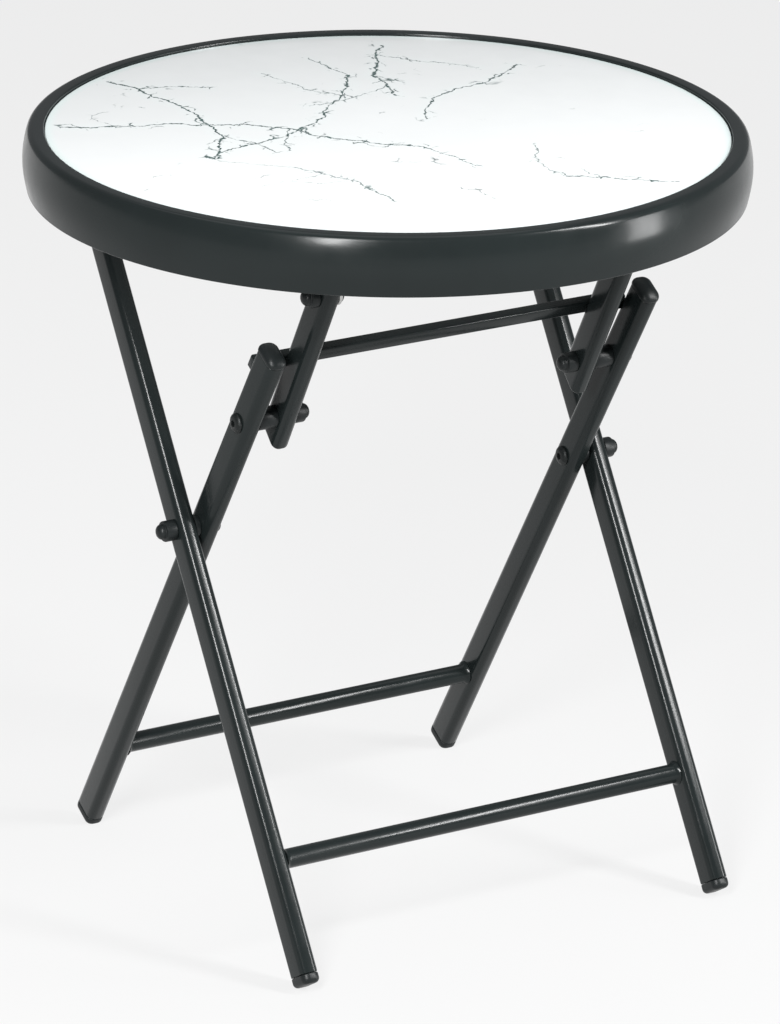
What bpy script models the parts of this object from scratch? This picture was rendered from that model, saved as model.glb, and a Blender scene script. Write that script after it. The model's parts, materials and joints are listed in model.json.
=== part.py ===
"""Round folding side table: a glass disc in a steel hoop, on an outer and an inner pair of
crossed legs, with two links that lock the legs open. Metres, +Z up, origin on the floor
under the middle of the top. Y runs along the pivot axes, and +X is the outer frame's feet."""

import math

import bmesh
import bpy
from mathutils import Vector

MM = 0.001

# Top
TABLE_HEIGHT = 495 * MM
BAND_EDGE_RADIUS = 228.6 * MM
BAND_BULGE = 2.4 * MM
RIM_HEIGHT = 38 * MM
RIM_WALL = 1.6 * MM
RIM_CORNER = 4.5 * MM
CORNER_ENDS_AT = 15
FLANGE_INNER_RADIUS = 217.4 * MM
GLASS_BELOW_RIM = 1.8 * MM
GLASS_THICKNESS = 4 * MM
GLASS_RADIUS = FLANGE_INNER_RADIUS - 0.5 * MM
LEDGE_INNER_RADIUS = 204 * MM
GASKET_OUTER_RADIUS = 215 * MM
GASKET_INNER_RADIUS = 206 * MM
GASKET_THICKNESS = 0.8 * MM
RAIL_WIDTH = 22 * MM
RAIL_DEPTH = 8 * MM
RAIL_WALL = 1.5 * MM

# Flat-sided oval tube of the legs and links, and the round crossbars
TUBE_WIDTH = 20.5 * MM
TUBE_THICKNESS = 12.4 * MM
TUBE_CORNER = 5 * MM
TUBE_WALL = 1.2 * MM
CROSSBAR_RADIUS = 6.35 * MM
CROSSBAR_WALL = 1.2 * MM

# Leg planes and leans from the vertical
INNER_LEG_Y = 137.65 * MM
OUTER_LEG_Y = INNER_LEG_Y + 16.45 * MM
LINK_Y = INNER_LEG_Y - 26.25 * MM
OUTER_LEAN = math.radians(32.4)
INNER_LEAN = math.radians(30.8)
LINK_LEAN = math.radians(27.9)

# Pivots, in the X-Z plane
CROSS_PIVOT = Vector((10.5 * MM, 0, 256.3 * MM))
KNEE_ABOVE_CROSS = 97.7 * MM
LINK_LENGTH = 105 * MM
TOP_HINGE_HEIGHT = 426 * MM

# Ends of the tubes, measured along each leg from its cross pivot
OUTER_LEG_END_PAST_HINGE = 10 * MM
INNER_LEG_TOP = 156.5 * MM
CAP_HEIGHT = 6 * MM
LINK_END_PAST_BRACKET = 10.2 * MM
LINK_END_PAST_KNEE = 18 * MM
FOOT_HEAD = 6.5 * MM
FOOT_FLAT_CUT = 2 * MM
PLUG_DEPTH = 18 * MM
OUTER_CROSSBAR_ABOVE_FLOOR = 71.5 * MM
INNER_CROSSBAR_ABOVE_FLOOR = 65.2 * MM

# Stop bar across the back of the inner legs
STOP_BAR_HEIGHT = 10 * MM
STOP_BAR_DEPTH = 7 * MM
STOP_BAR_CORNER = 1.2 * MM
STOP_BAR_WALL = 1.2 * MM
STOP_BAR_ABOVE_CROSS = 134 * MM
STOP_BAR_OVERHANG = -6.7 * MM
STOP_PLATE_LENGTH = 8 * MM
STOP_PLATE_WIDTH = 4 * MM
STOP_PLATE_INSET = 3 * MM

# Fasteners
SHANK_RADIUS = 3 * MM
HOLE_RADIUS = 3.4 * MM
HEAD_RADIUS = 6.4 * MM
HEAD_HEIGHT = 3 * MM
SOCKET_RADIUS = 2.3 * MM
SOCKET_DEPTH = 1.8 * MM
CAP_NUT_RADIUS = 6.7 * MM
CAP_NUT_LENGTH = 12 * MM
SHORT_CAP_NUT_LENGTH = 10 * MM
NUT_RADIUS = 5.6 * MM
NUT_LENGTH = 4.5 * MM
SPACER_RADIUS = 7.2 * MM
BRACKET_PLATE = 2 * MM
BRACKET_END_RADIUS = 7.5 * MM
BRACKET_FLANGE_LENGTH = 20 * MM

GAP = 0.3 * MM
ARC_STEPS = 5
FASTENER_STEPS = 16
ROUND_STEPS = 24
HOOP_STEPS = 96
QUARTER = math.pi / 2

PAINT = ("charcoal_paint", (0.040, 0.046, 0.046), 0.45, 0.0)
PLASTIC = ("black_plastic", (0.014, 0.015, 0.015), 0.5, 0.0)
FASTENER = ("black_hardware", (0.020, 0.022, 0.022), 0.35, 0.6)
GLASS = ("marble_glass", (0.86, 0.88, 0.87), 0.08, 0.0)
RUBBER = ("clear_rubber", (0.55, 0.55, 0.53), 0.6, 0.0)
ZINC = ("zinc_steel", (0.50, 0.50, 0.49), 0.35, 1.0)

LEFT_AND_RIGHT = (("left", -1), ("right", 1))


def along(lean):
    """Unit vector up a leg that leans towards +X by this angle."""
    return Vector((math.sin(lean), 0, math.cos(lean)))


def clear_scene():
    for old in list(bpy.data.objects):
        bpy.data.objects.remove(old, do_unlink=True)


def collection(name, hidden=False):
    made = bpy.data.collections.new(name)
    bpy.context.scene.collection.children.link(made)
    made.hide_render = hidden
    return made


def finish(name, colour, roughness, metallic):
    material = bpy.data.materials.new(name)
    material.use_nodes = True
    shader = material.node_tree.nodes["Principled BSDF"]
    shader.inputs["Base Color"].default_value = (*colour, 1)
    shader.inputs["Roughness"].default_value = roughness
    shader.inputs["Metallic"].default_value = metallic
    return material


class Maker:
    """Holds the collections and finishes, and turns meshes into placed pieces."""

    def __init__(self):
        self.parts = collection("folding_table")
        self.cutters = collection("folding_table_cutters", hidden=True)
        kinds = (PAINT, PLASTIC, FASTENER, GLASS, RUBBER, ZINC)
        self.finishes = {kind[0]: finish(*kind) for kind in kinds}

    def frame(self, name, place, lean=0.0):
        """An empty on a joint's axis, which carries the pieces of one moving body."""
        empty = bpy.data.objects.new(name, None)
        empty.location = place
        empty.rotation_euler = (0, lean, 0)
        self.parts.objects.link(empty)
        return empty

    def piece(self, name, mesh, kind, frame, place=(0, 0, 0), turn=(0, 0, 0)):
        made = bpy.data.objects.new(name, mesh)
        made.parent = frame
        made.location = place
        made.rotation_euler = turn
        mesh.materials.clear()
        mesh.materials.append(self.finishes[kind[0]])
        self.parts.objects.link(made)
        return made

    def cutter(self, name, mesh, frame, place=(0, 0, 0), turn=(0, 0, 0)):
        made = bpy.data.objects.new(name, mesh)
        made.parent = frame
        made.location = place
        made.rotation_euler = turn
        made.display_type = "WIRE"
        made.hide_render = True
        self.cutters.objects.link(made)
        return made


def cut(piece, cutter, operation="DIFFERENCE"):
    boolean = piece.modifiers.new(cutter.name, "BOOLEAN")
    boolean.operation = operation
    boolean.solver = "EXACT"
    boolean.object = cutter


def smooth(mesh, angle=math.radians(35)):
    mesh.shade_smooth()
    mesh.set_sharp_from_angle(angle=angle)
    return mesh


def rounded_rectangle(width, height, radius, steps=ARC_STEPS):
    """Corner points of a rectangle with round corners, anticlockwise."""
    points = []
    for corner, (side_x, side_y) in enumerate(((1, 1), (-1, 1), (-1, -1), (1, -1))):
        for step in range(steps + 1):
            angle = (corner + step / steps) * QUARTER
            x = side_x * (width / 2 - radius) + radius * math.cos(angle)
            y = side_y * (height / 2 - radius) + radius * math.sin(angle)
            points.append((x, y))
    return points


def prism(name, loops, length):
    """A mesh of flat outlines, the later ones holes, pushed out evenly along Z."""
    curve = bpy.data.curves.new(name, "CURVE")
    curve.dimensions = "2D"
    curve.fill_mode = "BOTH"
    curve.extrude = length / 2
    for loop in loops:
        spline = curve.splines.new("POLY")
        spline.points.add(len(loop) - 1)
        for point, (x, y) in zip(spline.points, loop):
            point.co = (x, y, 0, 1)
        spline.use_cyclic_u = True
    holder = bpy.data.objects.new(name, curve)
    bpy.context.scene.collection.objects.link(holder)
    bpy.context.view_layer.update()
    graph = bpy.context.evaluated_depsgraph_get()
    mesh = bpy.data.meshes.new_from_object(holder.evaluated_get(graph))
    mesh.name = name
    bpy.data.objects.remove(holder)
    bpy.data.curves.remove(curve)
    shape = bmesh.new()
    shape.from_mesh(mesh)
    bmesh.ops.remove_doubles(shape, verts=shape.verts, dist=1e-6)
    bmesh.ops.recalc_face_normals(shape, faces=shape.faces)
    shape.to_mesh(mesh)
    shape.free()
    return smooth(mesh)


def tube_mesh(name, length, width=TUBE_WIDTH, thickness=TUBE_THICKNESS,
              corner=TUBE_CORNER, wall=TUBE_WALL):
    outer = rounded_rectangle(width, thickness, corner)
    inner_corner = max(corner - wall, 0.4 * MM)
    inner = rounded_rectangle(width - 2 * wall, thickness - 2 * wall, inner_corner)
    return prism(name, (outer, inner), length)


def cylinder_mesh(name, radius, length, steps=ROUND_STEPS):
    """A plain cylinder along Z, with its middle at the origin."""
    shape = bmesh.new()
    bmesh.ops.create_cone(shape, cap_ends=True, segments=steps, radius1=radius,
                          radius2=radius, depth=length)
    mesh = bpy.data.meshes.new(name)
    shape.to_mesh(mesh)
    shape.free()
    return smooth(mesh)


def box_mesh(name, x, y, z):
    shape = bmesh.new()
    bmesh.ops.create_cube(shape, size=1)
    bmesh.ops.scale(shape, vec=(x, y, z), verts=shape.verts)
    mesh = bpy.data.meshes.new(name)
    shape.to_mesh(mesh)
    shape.free()
    return mesh


def turned(piece, steps=FASTENER_STEPS):
    """Spins the piece's profile, which lies in the X-Z plane, round its own Z axis."""
    screw = piece.modifiers.new("turn", "SCREW")
    screw.axis = "Z"
    screw.angle = 2 * math.pi
    screw.steps = steps
    screw.render_steps = steps
    screw.use_merge_vertices = True
    screw.merge_threshold = 0.00001
    screw.use_smooth_shade = True
    return piece


def profile_mesh(name, points, closed=False):
    """Edges through (radius, height) points, for turning."""
    mesh = bpy.data.meshes.new(name)
    edges = [(i, i + 1) for i in range(len(points) - 1)]
    if closed:
        edges.append((len(points) - 1, 0))
    mesh.from_pydata([(r, 0, z) for r, z in points], edges, [])
    return mesh


def arc(centre, radius, start, end, steps=4):
    """Points on a circle in the profile plane, from one angle to another in degrees."""
    points = []
    for step in range(steps + 1):
        angle = math.radians(start + (end - start) * step / steps)
        points.append((centre[0] + radius * math.cos(angle), centre[1] + radius * math.sin(angle)))
    return points


def facing(side):
    """Turn that lays a piece made along +Z out along Y, towards this side."""
    return (-side * QUARTER, 0, 0)


def button_bolt(make, name, frame, place, side, reach):
    """Domed head that faces the given side, socket cut in it, and a shank of this reach."""
    crown = [(0, HEAD_HEIGHT), (3.4 * MM, HEAD_HEIGHT), (4.8 * MM, 2.5 * MM)]
    rim = [(5.9 * MM, 1.6 * MM), (HEAD_RADIUS, 0.8 * MM), (HEAD_RADIUS, 0)]
    profile = crown + rim + [(SHANK_RADIUS, 0), (SHANK_RADIUS, -reach), (0, -reach)]
    bolt = make.piece(name, profile_mesh(name, profile), FASTENER, frame, place, facing(side))
    turned(bolt)
    socket = cylinder_mesh(name + "_socket", SOCKET_RADIUS, 2 * SOCKET_DEPTH, 6)
    cut(bolt, make.cutter(name + "_socket", socket, bolt, (0, 0, HEAD_HEIGHT)))
    return bolt


def ring_profile(outer, inner, length):
    return [(outer, length), (outer, 0), (inner, 0), (inner, length)]


def spacer(make, name, kind, frame, place, side, radius, length):
    """A plain bush round the shank, standing up from its place towards this side."""
    ring = ring_profile(radius, HOLE_RADIUS, length)
    bush = make.piece(name, profile_mesh(name, ring, closed=True), kind, frame, place,
                      facing(side))
    return turned(bush)


def cap_nut(make, name, frame, place, side, length, bore):
    """Round domed nut cover with a bore for the shank, standing out to this side."""
    straight = length - 4.6 * MM
    crown = [(0, length), (2.2 * MM, length - 0.3 * MM), (4.3 * MM, length - 1.6 * MM)]
    sides = [(5.6 * MM, straight + 1.2 * MM), (CAP_NUT_RADIUS, straight - 1.2 * MM),
             (CAP_NUT_RADIUS, 0)]
    hole = [(HOLE_RADIUS, 0), (HOLE_RADIUS, bore), (0, bore)]
    nut = make.piece(name, profile_mesh(name, crown + sides + hole), PLASTIC, frame, place,
                     facing(side))
    return turned(nut)


def stud_nut(make, name, frame, place, side, length, stub):
    """Domed nut with the bolt's threaded end inside it, which fills the link's hole."""
    straight = length - 4.6 * MM
    crown = [(0, length), (2.2 * MM, length - 0.3 * MM), (4.3 * MM, length - 1.6 * MM)]
    sides = [(5.6 * MM, straight + 1.2 * MM), (CAP_NUT_RADIUS, straight - 1.2 * MM),
             (CAP_NUT_RADIUS, 0)]
    end = [(SHANK_RADIUS, 0), (SHANK_RADIUS, -stub), (0, -stub)]
    nut = make.piece(name, profile_mesh(name, crown + sides + end), PLASTIC, frame, place,
                     facing(side))
    return turned(nut)


def hex_nut(make, name, frame, place, side):
    nut = make.piece(name, cylinder_mesh(name, NUT_RADIUS, NUT_LENGTH, 6), ZINC, frame,
                     place + Vector((0, side * NUT_LENGTH / 2, 0)), facing(side))
    hole = cylinder_mesh(name + "_thread", HOLE_RADIUS, 2 * NUT_LENGTH, FASTENER_STEPS)
    cut(nut, make.cutter(name + "_thread", hole, nut))
    return nut


def bolt_hole(make, piece, name, frame, place, reach=TUBE_THICKNESS * 2):
    hole = cylinder_mesh(name, HOLE_RADIUS, reach, FASTENER_STEPS)
    cut(piece, make.cutter(name, hole, frame, place, (QUARTER, 0, 0)))


def end_plug(make, name, frame, y, end, direction, head_loops, head_length):
    """Plastic plug: a stem inside the tube's end and a head of the tube's own section."""
    clearance = TUBE_WALL + GAP
    stem_section = rounded_rectangle(TUBE_WIDTH - 2 * clearance, TUBE_THICKNESS - 2 * clearance,
                                     TUBE_CORNER - clearance, 3)
    overlap = 1 * MM
    stem = prism(name + "_stem", (stem_section,), PLUG_DEPTH + overlap)
    head = prism(name, head_loops, head_length)
    head_middle = end + direction * (GAP + head_length / 2)
    stem_middle = end + direction * (GAP + (overlap - PLUG_DEPTH) / 2)
    plug = make.piece(name, head, PLASTIC, frame, (0, y, head_middle))
    joined = make.cutter(name + "_stem", stem, frame, (0, y, stem_middle))
    cut(plug, joined, "UNION")
    return plug


def tube_section():
    return rounded_rectangle(TUBE_WIDTH, TUBE_THICKNESS, TUBE_CORNER)


def band_points(high, low, steps=8):
    """(radius, height) points down the hoop's band, which is widest halfway."""
    start = high - RIM_CORNER + RIM_CORNER * math.sin(math.radians(CORNER_ENDS_AT))
    points = []
    for step in range(1, steps):
        share = step / steps
        radius = BAND_EDGE_RADIUS + BAND_BULGE * math.sin(math.pi * share)
        points.append((radius, start + (low - start) * share))
    return points


def make_hoop(make, top):
    """Steel band with a rolled upper corner, then a step inwards and down to the glass ledge."""
    high = TABLE_HEIGHT - top.location.z
    low = high - RIM_HEIGHT
    ledge = ledge_top() - top.location.z
    lip = FLANGE_INNER_RADIUS + RIM_WALL
    corner = (BAND_EDGE_RADIUS - RIM_CORNER, high - RIM_CORNER)
    band = band_points(high, low + 0.4 * MM)
    points = [(LEDGE_INNER_RADIUS, ledge), (FLANGE_INNER_RADIUS, ledge)]
    points += [(FLANGE_INNER_RADIUS, high - 0.7 * MM), (FLANGE_INNER_RADIUS + 0.7 * MM, high)]
    points += arc(corner, RIM_CORNER, 90, CORNER_ENDS_AT, 5)
    points += band
    points += [(BAND_EDGE_RADIUS, low + 0.4 * MM), (BAND_EDGE_RADIUS - 0.4 * MM, low)]
    points += [(BAND_EDGE_RADIUS - RIM_WALL, low)]
    points += [(radius - RIM_WALL, height) for radius, height in reversed(band)]
    points += arc(corner, RIM_CORNER - RIM_WALL, CORNER_ENDS_AT, 90, 3)
    points += [(lip, high - RIM_WALL), (lip, ledge - RIM_WALL)]
    points += [(LEDGE_INNER_RADIUS, ledge - RIM_WALL)]
    hoop = make.piece("top_rim", profile_mesh("top_rim", points, closed=True), PAINT, top,
                      (-top.location.x, 0, 0))
    turned(hoop, HOOP_STEPS)


def glass_underside():
    return TABLE_HEIGHT - GLASS_BELOW_RIM - GLASS_THICKNESS


def ledge_top():
    return glass_underside() - GASKET_THICKNESS - 2 * GAP


def make_glass(make, top):
    """Glass disc with eased edges, on a thin clear gasket ring over the ledge."""
    high = GLASS_THICKNESS
    ease = 0.6 * MM
    points = [(0, high), (GLASS_RADIUS - ease, high), (GLASS_RADIUS, high - ease),
              (GLASS_RADIUS, ease), (GLASS_RADIUS - ease, 0), (0, 0)]
    place = Vector((-top.location.x, 0, glass_underside() - top.location.z))
    glass = make.piece("glass_top", profile_mesh("glass_top", points), GLASS, top, place)
    turned(glass, HOOP_STEPS)
    ring = ring_profile(GASKET_OUTER_RADIUS, GASKET_INNER_RADIUS, GASKET_THICKNESS)
    gasket = make.piece("glass_gasket", profile_mesh("glass_gasket", ring, closed=True), RUBBER,
                        top, place - Vector((0, 0, GASKET_THICKNESS + GAP)))
    turned(gasket, HOOP_STEPS)


def rail_top():
    return ledge_top() - RIM_WALL - GAP


def make_rail(make, top, name, x):
    """Channel across the hoop, open below, its back against the underside of the ledge."""
    half_chord = math.sqrt((FLANGE_INNER_RADIUS - GAP) ** 2 - (abs(x) + RAIL_WIDTH / 2) ** 2)
    place = Vector((x, 0, rail_top() - RAIL_DEPTH / 2)) - top.location
    rail = make.piece(name, box_mesh(name, RAIL_WIDTH, 2 * half_chord, RAIL_DEPTH), PAINT, top,
                      place)
    trough = box_mesh(name + "_trough", RAIL_WIDTH - 2 * RAIL_WALL, 2.2 * half_chord, RAIL_DEPTH)
    cut(rail, make.cutter(name + "_trough", trough, top, place - Vector((0, 0, RAIL_WALL))))


def make_bracket(make, top, name, pivot, plate_y, side):
    """Angle bracket: a flange under a rail and a round-ended plate down to the pivot."""
    flange_top = rail_top() - RAIL_DEPTH - GAP
    drop = flange_top - pivot.z
    middle = plate_y * side
    plate = box_mesh(name, 2 * BRACKET_END_RADIUS, BRACKET_PLATE, drop)
    place = Vector((pivot.x, middle, pivot.z + drop / 2)) - top.location
    bracket = make.piece(name, plate, ZINC, top, place)
    round_end = cylinder_mesh(name + "_end", BRACKET_END_RADIUS, BRACKET_PLATE, ROUND_STEPS)
    end_place = Vector((pivot.x, middle, pivot.z)) - top.location
    cut(bracket, make.cutter(name + "_end", round_end, top, end_place, (QUARTER, 0, 0)), "UNION")
    inward = -side * (BRACKET_FLANGE_LENGTH - BRACKET_PLATE) / 2
    flange_place = Vector((pivot.x, middle + inward, flange_top - BRACKET_PLATE / 2))
    flange = box_mesh(name + "_flange", RAIL_WIDTH, BRACKET_FLANGE_LENGTH, BRACKET_PLATE)
    cut(bracket, make.cutter(name + "_flange", flange, top, flange_place - top.location), "UNION")
    bolt_hole(make, bracket, name + "_hole", top, end_place)


def make_top(make, top, hinge, link_top):
    make_hoop(make, top)
    make_glass(make, top)
    make_rail(make, top, "rear_rail", hinge.x)
    make_rail(make, top, "front_rail", link_top.x)
    beside_leg = OUTER_LEG_Y - TUBE_THICKNESS / 2 - GAP - BRACKET_PLATE / 2
    beside_link = LINK_Y - TUBE_THICKNESS / 2 - GAP - BRACKET_PLATE / 2
    for side_name, side in LEFT_AND_RIGHT:
        make_bracket(make, top, f"hinge_bracket_{side_name}", hinge, beside_leg, side)
        make_bracket(make, top, f"link_bracket_{side_name}", link_top, beside_link, side)
        make_hinge_bolt(make, top, side_name, side, hinge - top.location)
        make_link_bolt(make, top, side_name, side, link_top - top.location)


def make_hinge_bolt(make, top, side_name, side, place):
    """Bolt through an outer leg and its bracket, with a plain nut inside."""
    outside = OUTER_LEG_Y + TUBE_THICKNESS / 2 + GAP
    inside = OUTER_LEG_Y - TUBE_THICKNESS / 2 - 2 * GAP - BRACKET_PLATE
    button_bolt(make, f"hinge_bolt_{side_name}", top, place + Vector((0, side * outside, 0)),
                side, outside - inside + NUT_LENGTH + 1 * MM)
    hex_nut(make, f"hinge_nut_{side_name}", top, place + Vector((0, side * inside, 0)), -side)


def make_link_bolt(make, top, side_name, side, place):
    """Bolt through a link bracket and the link, with a cap nut on the link's outer side."""
    outside = LINK_Y + TUBE_THICKNESS / 2 + GAP
    inside = LINK_Y - TUBE_THICKNESS / 2 - 2 * GAP - BRACKET_PLATE
    bore = SHORT_CAP_NUT_LENGTH - 4 * MM
    button_bolt(make, f"link_top_bolt_{side_name}", top, place + Vector((0, side * inside, 0)),
                -side, outside - inside + bore - GAP)
    cap_nut(make, f"link_top_nut_{side_name}", top, place + Vector((0, side * outside, 0)),
            side, SHORT_CAP_NUT_LENGTH, bore)


def foot_end(lean):
    """Where a foot's square end lies along its leg, so that its low corner meets the floor."""
    corner_drop = TUBE_WIDTH / 2 * math.sin(lean)
    return -(CROSS_PIVOT.z + FOOT_FLAT_CUT - corner_drop) / math.cos(lean)


def make_foot(make, name, frame, y, floor, tube_end):
    """Square-ended foot plug, its low corner cut level. floor is a box below it."""
    plug = end_plug(make, name, frame, y, tube_end, -1, (tube_section(),), FOOT_HEAD)
    cut(plug, floor)


def make_crossbar(make, name, frame, reach, height):
    """Round tube between two legs, its middle at this height along the frame."""
    wall_end = reach - TUBE_THICKNESS / 2 - GAP
    profile = ring_profile(CROSSBAR_RADIUS, CROSSBAR_RADIUS - CROSSBAR_WALL, 2 * wall_end)
    bar = make.piece(name, profile_mesh(name, profile, closed=True), PAINT, frame,
                     (0, -wall_end, height), facing(1))
    turned(bar, ROUND_STEPS)


def make_outer_frame(make, frame, floor, hinge):
    """Outer legs: one tube a side, joined low down, with the hinge near the upper end."""
    bottom = foot_end(OUTER_LEAN) + FOOT_HEAD + GAP
    hinge_above = (hinge - CROSS_PIVOT).length
    top_end = hinge_above + OUTER_LEG_END_PAST_HINGE
    bar_height = (OUTER_CROSSBAR_ABOVE_FLOOR - CROSS_PIVOT.z) / math.cos(OUTER_LEAN)
    make_crossbar(make, "outer_crossbar", frame, OUTER_LEG_Y, bar_height)
    for side_name, side in LEFT_AND_RIGHT:
        y = side * OUTER_LEG_Y
        name = f"outer_leg_{side_name}"
        leg = make.piece(name, tube_mesh(name, top_end - bottom), PAINT, frame,
                         (0, y, (top_end + bottom) / 2))
        bolt_hole(make, leg, name + "_cross_hole", frame, (0, y, 0))
        bolt_hole(make, leg, name + "_hinge_hole", frame, (0, y, hinge_above))
        make_foot(make, f"outer_foot_{side_name}", frame, y, floor, bottom)
        short_plug(make, f"outer_leg_plug_{side_name}", frame, y, top_end, 1)
        inner_face = INNER_LEG_Y - TUBE_THICKNESS / 2 - GAP
        outer_face = OUTER_LEG_Y + TUBE_THICKNESS / 2 + GAP
        bore = CAP_NUT_LENGTH - 4 * MM
        button_bolt(make, f"cross_bolt_{side_name}", frame, (0, side * inner_face, 0), -side,
                    outer_face - inner_face + bore - GAP)
        cap_nut(make, f"cross_cap_nut_{side_name}", frame, (0, side * outer_face, 0), side,
                CAP_NUT_LENGTH, bore)
        between = OUTER_LEG_Y - INNER_LEG_Y - TUBE_THICKNESS - 2 * GAP
        start = INNER_LEG_Y + TUBE_THICKNESS / 2 + GAP
        spacer(make, f"cross_spacer_{side_name}", PLASTIC, frame, (0, side * start, 0), side,
               SPACER_RADIUS, between)


def short_plug(make, name, frame, y, end, direction):
    """Shallow plug for an end that turns close to a bolt."""
    clearance = TUBE_WALL + GAP
    section = rounded_rectangle(TUBE_WIDTH - 2 * clearance, TUBE_THICKNESS - 2 * clearance,
                                TUBE_CORNER - clearance, 3)
    depth = 3 * MM
    lid = 1.5 * MM
    overlap = 0.5 * MM
    stem = prism(name + "_stem", (section,), depth + overlap)
    plug = make.piece(name, prism(name, (tube_section(),), lid), PLASTIC, frame,
                      (0, y, end + direction * (GAP + lid / 2)))
    stem_middle = end + direction * (GAP + (overlap - depth) / 2)
    cut(plug, make.cutter(name + "_stem", stem, frame, (0, y, stem_middle)), "UNION")


def make_top_cap(make, name, frame, y, end):
    """Domed oval cap with a stem down into the tube."""
    levels = 4
    base = rounded_rectangle(TUBE_WIDTH + 0.8 * MM, TUBE_THICKNESS + 0.8 * MM,
                             TUBE_CORNER + 0.4 * MM)
    shape = bmesh.new()
    rings = []
    for level in range(levels + 1):
        angle = QUARTER * level / levels
        shrink = math.cos(angle * 0.86)
        height = GAP + CAP_HEIGHT * (0.25 if level == 0 else 0.25 + 0.75 * math.sin(angle))
        rings.append([shape.verts.new((x * shrink, y0 * shrink, height)) for x, y0 in base])
    foot_ring = [shape.verts.new((x, y0, GAP)) for x, y0 in base]
    rings.insert(0, foot_ring)
    for low, high in zip(rings, rings[1:]):
        for i in range(len(low)):
            j = (i + 1) % len(low)
            shape.faces.new((low[i], low[j], high[j], high[i]))
    shape.faces.new(rings[-1])
    shape.faces.new(list(reversed(foot_ring)))
    bmesh.ops.recalc_face_normals(shape, faces=shape.faces)
    dome = bpy.data.meshes.new(name)
    shape.to_mesh(dome)
    shape.free()
    cap = make.piece(name, smooth(dome), PLASTIC, frame, (0, y, end))
    clearance = TUBE_WALL + GAP
    section = rounded_rectangle(TUBE_WIDTH - 2 * clearance, TUBE_THICKNESS - 2 * clearance,
                                TUBE_CORNER - clearance, 3)
    overlap = 1 * MM
    stem = prism(name + "_stem", (section,), PLUG_DEPTH + overlap)
    stem_middle = end + GAP + (overlap - PLUG_DEPTH) / 2
    cut(cap, make.cutter(name + "_stem", stem, frame, (0, y, stem_middle)), "UNION")


def link_back_offset(above_knee):
    """How far the locked link's back edge stands behind the inner leg's middle line."""
    difference = INNER_LEAN - LINK_LEAN
    return TUBE_WIDTH / 2 / math.cos(difference) + above_knee * math.tan(difference)


def make_stop_bar(make, frame):
    """Tube across the back of both inner legs, on small plates, where the links come to rest."""
    above_knee = STOP_BAR_ABOVE_CROSS - KNEE_ABOVE_CROSS
    front = link_back_offset(above_knee + STOP_BAR_HEIGHT / 2) + GAP
    length = 2 * (INNER_LEG_Y + TUBE_THICKNESS / 2 + STOP_BAR_OVERHANG)
    mesh = tube_mesh("stop_bar", length, STOP_BAR_DEPTH, STOP_BAR_HEIGHT, STOP_BAR_CORNER,
                     STOP_BAR_WALL)
    make.piece("stop_bar", mesh, PAINT, frame,
               (-front - STOP_BAR_DEPTH / 2, 0, STOP_BAR_ABOVE_CROSS), (QUARTER, 0, 0))
    plate = front - TUBE_WIDTH / 2 - 2 * GAP
    for side_name, side in LEFT_AND_RIGHT:
        name = f"stop_bar_plate_{side_name}"
        mesh = box_mesh(name, plate, STOP_PLATE_WIDTH, STOP_PLATE_LENGTH)
        y = side * (INNER_LEG_Y - STOP_PLATE_INSET)
        make.piece(name, mesh, PAINT, frame,
                   (-TUBE_WIDTH / 2 - GAP - plate / 2, y, STOP_BAR_ABOVE_CROSS))


def make_inner_frame(make, frame, floor):
    """Inner legs: joined low down and by the stop bar, with the knee pivots above the cross."""
    bottom = foot_end(INNER_LEAN) + FOOT_HEAD + GAP
    bar_height = (INNER_CROSSBAR_ABOVE_FLOOR - CROSS_PIVOT.z) / math.cos(INNER_LEAN)
    make_crossbar(make, "inner_crossbar", frame, INNER_LEG_Y, bar_height)
    make_stop_bar(make, frame)
    for side_name, side in LEFT_AND_RIGHT:
        y = side * INNER_LEG_Y
        name = f"inner_leg_{side_name}"
        leg = make.piece(name, tube_mesh(name, INNER_LEG_TOP - bottom), PAINT, frame,
                         (0, y, (INNER_LEG_TOP + bottom) / 2))
        bolt_hole(make, leg, name + "_cross_hole", frame, (0, y, 0))
        bolt_hole(make, leg, name + "_knee_hole", frame, (0, y, KNEE_ABOVE_CROSS))
        make_foot(make, f"inner_foot_{side_name}", frame, y, floor, bottom)
        make_top_cap(make, f"inner_leg_cap_{side_name}", frame, y, INNER_LEG_TOP)
        outer_face = INNER_LEG_Y + TUBE_THICKNESS / 2 + GAP
        inner_face = INNER_LEG_Y - TUBE_THICKNESS / 2 - GAP
        link_face = LINK_Y + TUBE_THICKNESS / 2 + GAP
        button_bolt(make, f"knee_bolt_{side_name}", frame,
                    (0, side * outer_face, KNEE_ABOVE_CROSS), side, outer_face - link_face)
        spacer(make, f"knee_spacer_{side_name}", PLASTIC, frame,
               (0, side * link_face, KNEE_ABOVE_CROSS), side, SPACER_RADIUS,
               inner_face - link_face)


def make_link(make, side_name, side, link_top):
    """Link that hangs from its bracket under the top and runs down to the knee."""
    frame = make.frame(f"link_frame_{side_name}", link_top, LINK_LEAN)
    y = side * LINK_Y
    name = f"link_{side_name}"
    high = LINK_END_PAST_BRACKET
    low = -LINK_LENGTH - LINK_END_PAST_KNEE
    tube = make.piece(name, tube_mesh(name, high - low), PAINT, frame, (0, y, (high + low) / 2))
    bolt_hole(make, tube, name + "_top_hole", frame, (0, y, 0))
    bolt_hole(make, tube, name + "_knee_hole", frame, (0, y, -LINK_LENGTH))
    short_plug(make, f"link_top_plug_{side_name}", frame, y, high, 1)
    short_plug(make, f"link_foot_plug_{side_name}", frame, y, low, -1)
    inner_face = LINK_Y - TUBE_THICKNESS / 2 - GAP
    stud_nut(make, f"knee_nut_{side_name}", frame, (0, side * inner_face, -LINK_LENGTH), -side,
             CAP_NUT_LENGTH, TUBE_THICKNESS + GAP)


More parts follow.
